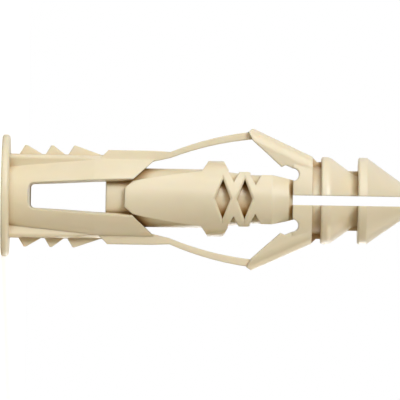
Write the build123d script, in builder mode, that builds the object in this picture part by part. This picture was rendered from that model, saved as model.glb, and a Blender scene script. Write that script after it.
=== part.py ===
"""Universal wall plug, moulded in one piece, for an 8 mm hole.

From the flange to the nose the piece has a flange, a slotted sleeve with saw teeth,
two thin straps that bow out to elbows, two stout struts that lead back to a split
barbed nose, and a core that hangs back from the nose into the sleeve. A screw goes
in at the flange, cuts its thread in the core and draws it back, and the legs fold.

The plug is drawn along X, with the flange's outer face at X = 0, the legs in the
plane Z = 0, and both halves alike. At the end it is stood on its flange, nose up.
"""

import math
import os

from build123d import *

# Driving sizes, in millimetres and degrees. A "half" is measured from the axis.

# Flange
flange_d = 11.2
flange_t = 0.70
flange_round = 0.30
flange_edge = 0.15

# Screw hole through the flange and the sleeve
screw_hole_d = 4.7
screw_hole_straight = 2.6
screw_hole_mouth = 0.30

# Sleeve: a cone that grows to the full diameter, with a raised land on each side
sleeve_root_d = 6.06
sleeve_d = 7.6
sleeve_cone = 7.8
shell_wall = 0.85
land_angle = 17.0
land_t_middle = 1.15
land_over_sleeve = 0.45
land_round = 0.32
land_run_out = 1.0

# Windows, front and back, open towards the nose
window_gap = 1.90
window_length = 9.20
window_half_flange = 1.07
window_half_nose = 1.46
window_corner = 0.37
window_draft = 12.0
shell_cut_angle = 43.0
shell_tip_in_wall = 0.35

# Fin with saw teeth on each side
fin_t = 0.90
fin_over_sleeve = 0.05
tooth_height = 0.81
tooth_gap = 0.32
tooth_first_gap = 0.87
tooth_lengths = (2.07, 1.77, 3.01)
tooth_rise = 0.49
tooth_flat = 0.20

# Rib that grows into the strap
rib_over_sleeve = 0.51
rib_ramp = 0.34
strap_w = 2.90
strap_t_root = 0.55
strap_t_elbow = 0.70
strap_straight = 1.64
strap_taper = 0.08
strap_bow_half = 5.43
strap_run = 7.50
strap_bow_at = 3.50

# Elbow and strut
elbow_half = 6.51
elbow_t = 1.10
elbow_step = 0.31
elbow_face = 0.43
strut_run = 5.50
strut_end_half = 3.98
strut_w_elbow = 4.40
strut_w_nose = 5.80
strut_round = 1.10
strut_corner = 0.20
strut_heel = 1.04
strut_heel_half = 3.02
strut_hollow = 0.40
strut_hollow_half = 3.20

# Pocket between the strut and the core
pocket_r = 0.58
pocket_half = 2.33

# Nose: block, necks and barbs, split in two by a slot
block_length = 1.78
block_half_height = 3.35
block_crown_r = 9.0
block_crown_half = 3.25
slot_w = 0.88
neck_length = 0.81
neck_half = 3.10
web_t = 0.90
web_half = 3.53
web_ramp = 0.40
barb_half = 4.00
barb_flat = 0.76
barb_slope = 1.76
barb_foot_half = 2.73
barb_round = 1.00
barb_edge = 0.12
tail_neck_length = 0.86
tail_neck_half = 2.35
tip_barb_half = 3.98
tip_barb_flat = 0.80
tip_length = 3.10
tip_half = 1.78

# Core: a tube with a raised lobe, front and back
tube_clearance = 0.26
tube_waist_half = 2.22
tube_overlap = 2.32
tube_bow = 0.10
tube_end_half = 1.70
core_bore_d = 3.2
core_bore_end_d = 2.2
core_bore_mouth = 0.45
lobe_half_height = 3.46
lobe_end_height = 2.95
tongue_overlap = 0.52
tongue_tip_half = 0.90
tongue_half = 1.53
tongue_corner = 0.77
tongue_round = 0.30
lobe_bow = 0.12
shoulder_half = 2.50
wing_half = 4.00
wing_rise = 0.99
wing_flat = 0.73
wing_fall = 0.83
lattice_length = 1.74
lattice_fall = 0.64
waist_half = 2.24
waist_length = 1.56
taper_half = 1.99
taper_length = 1.19
core_end_length = 0.69
core_end_slope = 0.36
core_end_fall = 0.40
core_sink = 0.40

# Lattice: diamond pockets with notches between them
diamonds = 2
diamond_pitch = 2.00
diamond_length = 1.40
diamond_half = 1.80
diamond_rim = 0.18
diamond_past_wing = 0.25
notch_depth = 0.92
notch_flare = 0.50

# How far a cutter or an overlapping form runs past the face that it meets
past = 0.5

# Distances from the axis that several forms share
flange_r = flange_d / 2
screw_hole_r = screw_hole_d / 2
sleeve_r = sleeve_d / 2
shell_inner_r = sleeve_r - shell_wall
shell_tip_half = shell_inner_r + shell_tip_in_wall
rib_root = sleeve_r - shell_wall / 2
fin_root_half = sleeve_r + fin_over_sleeve
tooth_tip_half = fin_root_half + tooth_height
rib_half = sleeve_r + rib_over_sleeve
strap_bend_half = rib_half - strap_taper
tube_half = shell_inner_r - tube_clearance
core_bore_r = core_bore_d / 2

# Stations along the axis, each worked out from those before it
cut_slope = math.tan(math.radians(shell_cut_angle))
x_cone_end = flange_t + sleeve_cone
x_window = flange_t + window_gap
x_open = x_window + window_length
x_shell = x_open + (shell_tip_half - window_half_nose) / cut_slope
x_bend = x_shell + strap_straight
x_elbow = x_bend + strap_run
x_block_end = x_elbow + strut_run
x_block = x_block_end - block_length
x_barb = x_block_end + neck_length
x_slope = x_barb + barb_flat
x_foot = x_slope + barb_slope
x_tip_barb = x_foot + tail_neck_length
x_tip_cone = x_tip_barb + tip_barb_flat
x_tip = x_tip_cone + tip_length
x_taper = x_block - core_end_length
x_waist_end = x_taper - taper_length
x_waist = x_waist_end - waist_length
x_lattice_end = x_waist - lattice_fall
x_lattice = x_lattice_end - lattice_length
x_wing_end = x_lattice - wing_fall
x_wing = x_wing_end - wing_flat
x_shoulder = x_wing - wing_rise
x_tube = x_open - tube_overlap
x_tongue = x_open - tongue_overlap


def mirrored(points):
    """A closed outline from its upper half, which runs from one end of the axis to the other."""
    return points + [(x, -y) for x, y in reversed(points)]


# Windows: straight up to the inner face, then drafted, so that they widen outwards
with BuildPart() as windows:
    with BuildSketch(Plane.XY.offset(screw_hole_r)) as window_outline:
        with BuildLine():
            sides = [(x_window, window_half_flange), (x_open, window_half_nose)]
            Polyline(*mirrored(sides + [(x_shell, window_half_nose)]), close=True)
        make_face()
        fillet(window_outline.vertices().group_by(Axis.X)[0], window_corner)
    extrude(amount=sleeve_r, taper=-window_draft)
    extrude(window_outline.sketch, amount=-screw_hole_r / 4)
    mirror(about=Plane.XY)

# Lands: rails with flat sides and rounded edges, that run out where the cone ends
with BuildPart() as lands:
    with BuildSketch(Plane.XZ):
        with BuildLine():
            land_end = [(x_cone_end + land_run_out, sleeve_r), (x_cone_end + land_run_out, 0)]
            Polyline((flange_t / 2, 0), (flange_t / 2, sleeve_r + land_over_sleeve), *land_end, close=True)
        make_face()
    revolve(axis=Axis.X)
    land_t_outside = land_t_middle + 2 * sleeve_r * math.tan(math.radians(land_angle))
    with BuildSketch(Plane.YZ) as land_section:
        with BuildLine():
            Polyline(
                (0, -land_t_middle / 2),
                (0, land_t_middle / 2),
                (sleeve_r, land_t_outside / 2),
                (sleeve_r, -land_t_outside / 2),
                close=True,
            )
        make_face()
        fillet(land_section.vertices().group_by(Axis.X)[-1], land_round)
        mirror(about=Plane.YZ)
    extrude(amount=x_open, mode=Mode.INTERSECT)

# Sleeve: flange, cone, lands and fins with saw teeth, then what is cut from them
with BuildPart() as sleeve:
    with BuildSketch(Plane.XZ):
        with BuildLine():
            Polyline(
                (0, 0),
                (0, flange_r),
                (flange_t, flange_r),
                (flange_t, sleeve_root_d / 2),
                (x_cone_end, sleeve_r),
                (x_shell + past, sleeve_r),
                (x_shell + past, 0),
                close=True,
            )
        make_face()
    revolve(axis=Axis.X)
    rim = sleeve.edges().filter_by(GeomType.CIRCLE).group_by(SortBy.LENGTH)[-1]
    fillet(rim.sort_by(Axis.X)[-1], flange_round)
    chamfer(rim.sort_by(Axis.X)[0], flange_edge)
    add(lands.part)

    # Fins: a plate on each side, in the plane of the legs
    x_tooth = flange_t + tooth_first_gap
    fin_outline = [(flange_t / 2, rib_root), (flange_t / 2, fin_root_half)]
    for tooth_length in tooth_lengths:
        fin_outline += [
            (x_tooth, fin_root_half),
            (x_tooth + tooth_rise, tooth_tip_half),
            (x_tooth + tooth_rise + tooth_flat, tooth_tip_half),
            (x_tooth + tooth_length, fin_root_half),
        ]
        x_tooth += tooth_length + tooth_gap
    x_rib = x_tooth + rib_ramp
    fin_outline += [(x_rib, fin_root_half), (x_rib, rib_root)]
    with BuildSketch():
        with BuildLine():
            Polyline(*fin_outline, close=True)
        make_face()
        mirror(about=Plane.XZ)
    extrude(amount=fin_t / 2, both=True)

    # Room inside: the screw hole, a cone, and the shells' inner face round the core
    with BuildSketch():
        with BuildLine():
            Polyline(
                (-past, 0),
                (-past, screw_hole_r + screw_hole_mouth + past),
                (screw_hole_mouth, screw_hole_r),
                (screw_hole_straight, screw_hole_r),
                (x_cone_end, shell_inner_r),
                (x_shell + 2 * past, shell_inner_r),
                (x_shell + 2 * past, 0),
                close=True,
            )
        make_face()
    revolve(axis=Axis.X, mode=Mode.SUBTRACT)
    add(windows.part, mode=Mode.SUBTRACT)

    # Shell ends: cut on the slant from the window to the outside
    slant_end = x_open + (sleeve_d - window_half_nose) / cut_slope
    with BuildSketch():
        with BuildLine():
            Polyline(*mirrored([(x_open, 0), (x_open, window_half_nose), (slant_end, sleeve_d)]), close=True)
        make_face()
    extrude(amount=sleeve_d, both=True, mode=Mode.SUBTRACT)

# Straps: a rib on each shell that runs on as a thin bowed strip, as far as the elbow
with BuildPart() as straps:
    x_bow = x_bend + strap_bow_at
    strap_t_bow = (strap_t_root + strap_t_elbow) / 2
    strap_end_half = elbow_half - elbow_step
    x_cut = x_open + (rib_root - window_half_nose) / cut_slope
    with BuildSketch():
        with BuildLine():
            Polyline(
                (x_bend, strap_bend_half),
                (x_shell, rib_half),
                (x_rib, rib_half),
                (x_rib - (rib_half - rib_root), rib_root),
                (x_cut, rib_root),
                (x_shell, shell_tip_half),
                (x_bend, strap_bend_half - strap_t_root),
            )
            ThreePointArc(
                (x_bend, strap_bend_half - strap_t_root),
                (x_bow, strap_bow_half - strap_t_bow),
                (x_elbow, strap_end_half - strap_t_elbow),
            )
            Line(
                (x_elbow, strap_end_half - strap_t_elbow),
                (x_elbow, strap_end_half),
            )
            ThreePointArc(
                (x_elbow, strap_end_half),
                (x_bow, strap_bow_half),
                (x_bend, strap_bend_half),
            )
        make_face()
        mirror(about=Plane.XZ)
    extrude(amount=strap_w / 2, both=True)

# Struts: bars that widen from the elbows to the nose, well rounded on the outside
strut_lean = math.atan2(elbow_half - strut_end_half, strut_run)
strut_length = math.hypot(elbow_half - strut_end_half, strut_run)
with BuildPart() as struts:
    outside = Plane(
        origin=(x_elbow, elbow_half, 0),
        x_dir=(math.cos(strut_lean), -math.sin(strut_lean), 0),
        z_dir=(math.sin(strut_lean), math.cos(strut_lean), 0),
    )
    with BuildSketch(outside):
        with BuildLine():
            strut_ends = [(-past, strut_w_elbow / 2), (strut_length + past, strut_w_nose / 2)]
            Polyline(*mirrored(strut_ends), close=True)
        make_face()
    extrude(amount=-elbow_half)
    outer_face = struts.faces().sort_by(Axis(outside.origin, outside.z_dir))[-1]
    fillet(outer_face.edges().filter_by(Axis.Z, reverse=True), strut_round)
    with BuildSketch() as strut_outline:
        with BuildLine():
            Polyline(
                (x_block, pocket_half - pocket_r),
                (x_block, 0),
                (x_block_end, 0),
                (x_block_end, strut_end_half),
                (x_elbow, elbow_half),
                (x_elbow - elbow_face, elbow_half - elbow_step),
                (x_elbow, elbow_half - elbow_t),
                (x_block - strut_heel, strut_heel_half),
                (x_block - strut_heel + strut_hollow, strut_hollow_half),
                (x_block, pocket_half + pocket_r),
            )
            ThreePointArc(
                (x_block, pocket_half + pocket_r),
                (x_block + pocket_r, pocket_half),
                (x_block, pocket_half - pocket_r),
            )
        make_face()
        for corner in ((x_elbow, elbow_half), (x_block_end, strut_end_half)):
            fillet(strut_outline.vertices().sort_by_distance(corner)[0], strut_corner)
    extrude(amount=strut_w_nose, both=True, mode=Mode.INTERSECT)
    mirror(about=Plane.XZ)

# Block that the struts end in: a crown, front and back, between the struts' faces
crown_foot = block_half_height - block_crown_r + math.sqrt(block_crown_r**2 - block_crown_half**2)
with BuildPart() as block:
    with BuildSketch(Plane.YZ.offset(x_block)):
        with BuildLine():
            crown_ends = (-block_crown_half, crown_foot), (block_crown_half, crown_foot)
            ThreePointArc(crown_ends[0], (0, block_half_height), crown_ends[1])
            Polyline(crown_ends[1], (block_crown_half, 0), (-block_crown_half, 0), crown_ends[0])
        make_face()
        mirror(about=Plane.XZ)
    extrude(amount=block_length)
    with BuildSketch():
        add(strut_outline.sketch)
        mirror(about=Plane.XZ)
    extrude(amount=block_half_height, both=True, mode=Mode.INTERSECT)

# Nose: necks and barbs turned about the axis, with webs in the plane of the legs
with BuildPart() as nose:
    with BuildSketch(Plane.XZ) as nose_profile:
        with BuildLine():
            Polyline(
                (x_block_end - past, 0),
                (x_block_end - past, neck_half),
                (x_barb, neck_half),
                (x_barb, barb_half),
                (x_slope, barb_half),
                (x_foot, barb_foot_half),
            )
            TangentArc(
                (x_foot, barb_foot_half),
                (x_tip_barb, tail_neck_half),
                tangent=(barb_slope, barb_foot_half - barb_half),
            )
            Polyline(
                (x_tip_barb, tail_neck_half),
                (x_tip_barb, tip_barb_half),
                (x_tip_cone, tip_barb_half),
                (x_tip, tip_half),
                (x_tip, 0),
                (x_block_end - past, 0),
            )
        make_face()
        fillet(nose_profile.vertices().sort_by_distance((x_slope, barb_half))[0], barb_round)
        for x_edge, edge_half in ((x_barb, barb_half), (x_tip_barb, tip_barb_half)):
            chamfer(nose_profile.vertices().sort_by_distance((x_edge, edge_half))[0], barb_edge)
    revolve(axis=Axis.X)
    with BuildSketch():
        with BuildLine():
            Polyline(
                (x_block_end - past, 0),
                (x_block_end - past, web_half + web_ramp),
                (x_block_end, web_half + web_ramp),
                (x_block_end + web_ramp, web_half),
                (x_barb + barb_flat / 2, web_half),
                (x_barb + barb_flat / 2, barb_foot_half),
                (x_tip_barb + tip_barb_flat / 2, barb_foot_half),
                (x_tip_barb + tip_barb_flat / 2, 0),
                close=True,
            )
        make_face()
        mirror(about=Plane.XZ)
    extrude(amount=web_t / 2, both=True)

# Core: lobes of full height within a tapered outline, on a tube that holds the screw
lobe_middle_half = (tongue_half + shoulder_half) / 2 + lobe_bow
with BuildPart() as core:
    with BuildSketch() as lobe_sketch:
        with BuildLine():
            lobe_outline = [
                (x_shoulder, shoulder_half),
                (x_wing, wing_half),
                (x_wing_end, wing_half),
                (x_lattice, shoulder_half),
                (x_lattice_end, shoulder_half),
                (x_waist, waist_half),
                (x_waist_end, waist_half),
                (x_taper, taper_half),
                (x_block + core_sink, tube_end_half),
            ]
            Polyline(*mirrored(lobe_outline))
            for side in (1, -1):
                Polyline(
                    (x_tongue, 0),
                    (x_tongue, side * tongue_tip_half),
                    (x_tongue + tongue_corner, side * tongue_half),
                )
                ThreePointArc(
                    (x_tongue + tongue_corner, side * tongue_half),
                    ((x_tongue + tongue_corner + x_shoulder) / 2, side * lobe_middle_half),
                    (x_shoulder, side * shoulder_half),
                )
        make_face()
        for side in (1, -1):
            corner = lobe_sketch.vertices().sort_by_distance((x_tongue, side * tongue_tip_half))[0]
            fillet(corner, tongue_round)
    extrude(amount=wing_half, both=True)
    with BuildSketch():
        with BuildLine():
            Polyline(
                (x_tongue - past, 0),
                (x_tongue - past, lobe_half_height),
                (x_waist_end, lobe_half_height),
                (x_block - core_end_slope, lobe_end_height),
                (x_block, lobe_end_height - core_end_fall),
                (x_block + core_sink, lobe_end_height - core_end_fall),
                (x_block + core_sink, 0),
                close=True,
            )
        make_face()
    revolve(axis=Axis.X, mode=Mode.INTERSECT)

    # Lattice: diamonds through the lobes, and notches between them from each side
    x_first = x_wing_end + diamond_past_wing
    for i in range(diamonds):
        x_diamond = x_first + i * diamond_pitch
        x_notch = x_diamond + diamond_pitch / 2
        edge_half = shoulder_half if x_notch < x_waist else waist_half
        apex = edge_half - notch_depth
        with BuildSketch():
            with BuildLine():
                Polyline(
                    (x_diamond - diamond_length / 2, 0),
                    (x_diamond, diamond_half),
                    (x_diamond + diamond_length / 2, 0),
                    (x_diamond, -diamond_half),
                    close=True,
                )
            make_face()
            with BuildLine():
                Polyline(
                    (x_notch, apex),
                    (x_notch - notch_flare, apex + notch_depth),
                    (x_notch - notch_flare, wing_half),
                    (x_notch + notch_flare, wing_half),
                    (x_notch + notch_flare, apex + notch_depth),
                    close=True,
                )
            make_face()
            mirror(about=Plane.XZ)
        extrude(amount=wing_half, both=True, mode=Mode.SUBTRACT)

    # Eased rims round the diamonds
    curved = core.edges().filter_by(GeomType.LINE, reverse=True)
    across = curved.filter_by_position(Axis.Y, -apex, apex)
    around = across.filter_by_position(Axis.X, x_first - diamond_length / 2, x_diamond + diamond_length / 2)
    chamfer(around, diamond_rim)

    # Tube inside the lobes, and the bore that the screw cuts its thread in
    with BuildSketch():
        with BuildLine():
            Polyline(
                (x_tube, 0),
                (x_tube, core_bore_r),
                (x_tube + tube_bow, tube_half),
                (x_shoulder, tube_half),
                (x_waist, tube_waist_half),
                (x_waist_end, tube_waist_half),
                (x_block + core_sink, tube_end_half),
                (x_block + core_sink, 0),
                close=True,
            )
        make_face()
    revolve(axis=Axis.X)

# The whole plug, with the slot in its nose and the bore in its core
with BuildPart() as wall_plug:
    add(sleeve.part)
    add(straps.part)
    add(struts.part)
    add(block.part)
    add(nose.part)
    add(core.part)
    with BuildSketch():
        with BuildLine():
            Polyline(*mirrored([(x_block, slot_w / 2), (x_tip + past, slot_w / 2)]), close=True)
        make_face()
    extrude(amount=sleeve_d, both=True, mode=Mode.SUBTRACT)
    with BuildSketch():
        with BuildLine():
            Polyline(
                (x_tube - past, 0),
                (x_tube - past, core_bore_r + core_bore_mouth + past),
                (x_tube + core_bore_mouth, core_bore_r),
                (x_block + core_sink, core_bore_end_d / 2),
                (x_block + core_sink + core_bore_end_d / 2, 0),
                close=True,
            )
        make_face()
    revolve(axis=Axis.X, mode=Mode.SUBTRACT)

# Stood on its flange, with the nose up, the legs along X and the windows front and back
wall_plug.part = wall_plug.part.rotate(Axis.Y, -90).rotate(Axis.Z, 90)
wall_plug.part.label = "wall_plug"
os.makedirs("parts", exist_ok=True)
export_step(wall_plug.part, "parts/wall_plug.step")
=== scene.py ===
import math

import bpy
from mathutils import Matrix, Vector


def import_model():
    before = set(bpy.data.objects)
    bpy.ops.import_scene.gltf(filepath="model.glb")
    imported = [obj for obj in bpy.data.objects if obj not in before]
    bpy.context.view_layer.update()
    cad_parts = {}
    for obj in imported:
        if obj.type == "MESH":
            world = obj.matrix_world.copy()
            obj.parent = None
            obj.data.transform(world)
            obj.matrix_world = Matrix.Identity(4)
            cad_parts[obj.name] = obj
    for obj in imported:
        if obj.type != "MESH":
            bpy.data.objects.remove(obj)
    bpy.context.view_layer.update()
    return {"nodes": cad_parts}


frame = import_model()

# The plug stands on its flange, nose up, legs along X. Lengths are in metres.
# The photograph shows it lying, seen square on, so the camera lies on its side:
# the picture's right is the nose, and the picture's top is -X.
MM = 0.001
MIDDLE = Vector((0.13, 0.0, 18.156)) * MM
FRAME_WIDTH = 36.68 * MM
CAMERA_DISTANCE = 700 * MM
ROLL_DEG = 0.93
SENSOR_WIDTH = 36

# Plastic: the skin wanders between two colours, and hollows are darkened towards a third, dark
# brown colour, which is painted shade.
SKIN_DARK = (0.772, 0.694, 0.506, 1)
SKIN_LIGHT = (0.822, 0.742, 0.554, 1)
PAINTED_SHADE = (0.46, 0.25, 0.05, 1)
PAINTED_SHADE_REACH = 1.2 * MM
PAINTED_SHADE_FULL = 0.12
PAINTED_SHADE_NONE = 0.63
GLOSSY_ROUGHNESS = 0.29
DULL_ROUGHNESS = 0.39
EDGE_RADIUS = 0.2 * MM
SWELL_HEIGHT = 0.02 * MM
GRAIN_HEIGHT = 0.004 * MM
LIGHT_INSIDE = 0.8 * MM

# Floor: a pale disc, and what is added to it for the camera alone.
FLOOR_RADIUS = 100 * MM
FLOOR_COLOUR = (0.86, 0.86, 0.86, 1)
FLOOR_GLOW = 0.60

# Room: the dim light from all around, and the half-width, as the sine of an angle,
# of the band in which the white backdrop fades in behind the plug.
ROOM_COLOUR = (1, 0.78, 0.50, 1)
ROOM_LEVEL = 0.14
BACKDROP_FADE = 0.25

# Softboxes: name, direction as the photograph sees it, level, colour. The light from
# below is a little warm, as if it came back from a table.
LAMP_DISTANCE = 400 * MM
LAMP_SIZE = 140 * MM
WHITE = (1, 1, 1)
WARM = (1, 0.90, 0.72)
LIGHTS = (
    ("key", (0.42, 0.45, 0.79), 0.50, WHITE),
    ("top", (0.14, 0.86, 0.50), 0.17, WHITE),
    ("front", (0.14, 0.50, 0.86), 0.13, WHITE),
    ("above", (0.14, 0.99, 0.00), 0.04, WHITE),
    ("side", (0.75, 0.57, 0.33), 0.05, WHITE),
    ("under", (0.42, -0.91, 0.00), 0.24, WARM),
    ("under_back", (0.42, -0.79, -0.45), 0.11, WARM),
    ("under_nose", (0.75, -0.57, -0.33), 0.05, WARM),
    ("back", (0.14, -0.50, -0.86), 0.14, WHITE),
)


def in_picture(right, up, toward):
    """A direction given as the photograph sees it."""
    return Vector((-up, -toward, right))


def add_node(tree, kind, **values):
    """A shader node, with the values of its inputs by name."""
    node = tree.nodes.new(kind)
    for name, value in values.items():
        node.inputs[name.replace("_", " ")].default_value = value
    return node


def math_node(tree, operation, first, second):
    """Arithmetic on two sockets, or on a socket and a number."""
    node = tree.nodes.new("ShaderNodeMath")
    node.operation = operation
    for socket, value in zip(node.inputs, (first, second)):
        if isinstance(value, float):
            socket.default_value = value
        else:
            tree.links.new(value, socket)
    return node.outputs[0]


def noise(tree, where, scale, detail):
    """Noise with so many waves to the metre."""
    node = add_node(tree, "ShaderNodeTexNoise", Scale=scale, Detail=detail)
    tree.links.new(where, node.inputs["Vector"])
    return node.outputs["Fac"]


def ramp(tree, factor, low, high, start=0.3, end=0.7):
    """Spreads the middle of a factor between two values or two colours."""
    node = tree.nodes.new("ShaderNodeValToRGB")
    node.color_ramp.elements[0].position = start
    node.color_ramp.elements[1].position = end
    for element, value in zip(node.color_ramp.elements, (low, high)):
        element.color = value if isinstance(value, tuple) else (value, value, value, 1)
    tree.links.new(factor, node.inputs["Fac"])
    return node.outputs["Color"]


def bumped(tree, normal, height, strength, distance):
    """The normal with a relief of the given height added."""
    node = add_node(tree, "ShaderNodeBump", Strength=strength, Distance=distance)
    tree.links.new(height, node.inputs["Height"])
    tree.links.new(normal, node.inputs["Normal"])
    return node.outputs["Normal"]


def moulded_plastic():
    """Beige nylon with a satin skin: faint flow marks, soft edges, a little light inside, and
    painted shade that darkens its hollows.
    """
    material = bpy.data.materials.new("moulded_nylon")
    material.use_nodes = True
    tree = material.node_tree
    link = tree.links.new
    shader = tree.nodes["Principled BSDF"]
    where = tree.nodes.new("ShaderNodeTexCoord").outputs["Object"]

    # Painted shade: where ambient occlusion finds a hollow, the base colour is mixed towards a dark
    # brown that stands in for shade.
    shade_occlusion = add_node(tree, "ShaderNodeAmbientOcclusion", Distance=PAINTED_SHADE_REACH)
    shade_occlusion.samples = 8
    shade_occlusion.only_local = True
    colour = tree.nodes.new("ShaderNodeMix")
    colour.data_type = "RGBA"
    colour.inputs["A"].default_value = PAINTED_SHADE
    unshaded_share = ramp(tree, shade_occlusion.outputs["AO"], 0.0, 1.0, PAINTED_SHADE_FULL, PAINTED_SHADE_NONE)
    link(unshaded_share, colour.inputs["Factor"])
    link(ramp(tree, noise(tree, where, 160, 3), SKIN_DARK, SKIN_LIGHT), colour.inputs["B"])
    link(colour.outputs["Result"], shader.inputs["Base Color"])
    gloss = ramp(tree, noise(tree, where, 900, 4), GLOSSY_ROUGHNESS, DULL_ROUGHNESS)
    link(gloss, shader.inputs["Roughness"])

    edges = add_node(tree, "ShaderNodeBevel", Radius=EDGE_RADIUS)
    edges.samples = 4
    swell = bumped(tree, edges.outputs["Normal"], noise(tree, where, 700, 2), 0.15, SWELL_HEIGHT)
    grain = bumped(tree, swell, noise(tree, where, 9000, 3), 0.2, GRAIN_HEIGHT)
    link(grain, shader.inputs["Normal"])

    shader.inputs["Specular IOR Level"].default_value = 0.6
    shader.inputs["IOR"].default_value = 1.53
    shader.inputs["Subsurface Weight"].default_value = 0.25
    shader.inputs["Subsurface Radius"].default_value = (1.0, 0.62, 0.30)
    shader.inputs["Subsurface Scale"].default_value = LIGHT_INSIDE
    return material


def floor():
    """A pale floor under the flange, white to the camera where no shadow falls."""
    bpy.ops.mesh.primitive_circle_add(vertices=96, radius=FLOOR_RADIUS, fill_type="NGON")
    disc = bpy.context.object
    disc.name = "floor"
    material = bpy.data.materials.new("pale_floor")
    material.use_nodes = True
    tree = material.node_tree
    shader = tree.nodes["Principled BSDF"]
    shader.inputs["Base Color"].default_value = FLOOR_COLOUR
    shader.inputs["Roughness"].default_value = 0.8
    shader.inputs["Emission Color"].default_value = (1, 1, 1, 1)
    path = tree.nodes.new("ShaderNodeLightPath")
    seen = math_node(tree, "MULTIPLY", path.outputs["Is Camera Ray"], FLOOR_GLOW)
    tree.links.new(seen, shader.inputs["Emission Strength"])
    disc.data.materials.append(material)


def world():
    """White to the camera. The plug has a white backdrop behind it and a dim warm room in front."""
    scene = bpy.context.scene
    scene.world = bpy.data.worlds.new("studio")
    scene.world.use_nodes = True
    tree = scene.world.node_tree
    link = tree.links.new
    room = tree.nodes["Background"]
    room.inputs["Color"].default_value = ROOM_COLOUR
    room.inputs["Strength"].default_value = ROOM_LEVEL
    white = add_node(tree, "ShaderNodeBackground", Color=(1, 1, 1, 1), Strength=1.0)
    path = tree.nodes.new("ShaderNodeLightPath")
    split = tree.nodes.new("ShaderNodeSeparateXYZ")
    link(tree.nodes.new("ShaderNodeTexCoord").outputs["Generated"], split.inputs[0])
    behind = tree.nodes.new("ShaderNodeMapRange")
    behind.inputs["From Min"].default_value = -BACKDROP_FADE
    behind.inputs["From Max"].default_value = BACKDROP_FADE
    link(split.outputs["Y"], behind.inputs["Value"])
    mirrored = math_node(tree, "MULTIPLY", path.outputs["Is Glossy Ray"], behind.outputs["Result"])
    seen = math_node(tree, "MAXIMUM", path.outputs["Is Camera Ray"], mirrored)
    mix = tree.nodes.new("ShaderNodeMixShader")
    link(seen, mix.inputs["Fac"])
    link(room.outputs[0], mix.inputs[1])
    link(white.outputs[0], mix.inputs[2])
    link(mix.outputs[0], tree.nodes["World Output"].inputs["Surface"])


def softbox(name, direction, level, colour):
    """A square lamp that faces the plug. A level of 1 lights a white surface to white."""
    lamp = bpy.data.lights.new(name, "AREA")
    lamp.color = colour
    lamp.size = LAMP_SIZE
    lamp.energy = level * math.pi**2 * LAMP_DISTANCE**2
    holder = bpy.data.objects.new(name, lamp)
    bpy.context.collection.objects.link(holder)
    direction = direction.normalized()
    turn = direction.to_track_quat("Z", "Y").to_matrix().to_4x4()
    holder.matrix_world = Matrix.Translation(MIDDLE + direction * LAMP_DISTANCE) @ turn


def camera():
    """Square on to the legs, a long lens from a good way off."""
    lens = bpy.data.cameras.new("camera")
    lens.sensor_width = SENSOR_WIDTH
    lens.lens = SENSOR_WIDTH * CAMERA_DISTANCE / FRAME_WIDTH
    lens.clip_end = 10
    eye = bpy.data.objects.new("camera", lens)
    bpy.context.collection.objects.link(eye)
    turn = math.radians(ROLL_DEG)
    right = in_picture(math.cos(turn), math.sin(turn), 0)
    up = in_picture(-math.sin(turn), math.cos(turn), 0)
    toward = in_picture(0, 0, 1)
    axes = Matrix((right, up, toward)).transposed().to_4x4()
    eye.matrix_world = Matrix.Translation(MIDDLE + toward * CAMERA_DISTANCE) @ axes
    bpy.context.scene.camera = eye


plastic = moulded_plastic()
for slot in frame["nodes"]["wall_plug"].material_slots:
    slot.material = plastic

floor()
world()
for name, direction, level, colour in LIGHTS:
    softbox(name, in_picture(*direction), level, colour)
camera()
bpy.context.scene.view_settings.view_transform = "Standard"
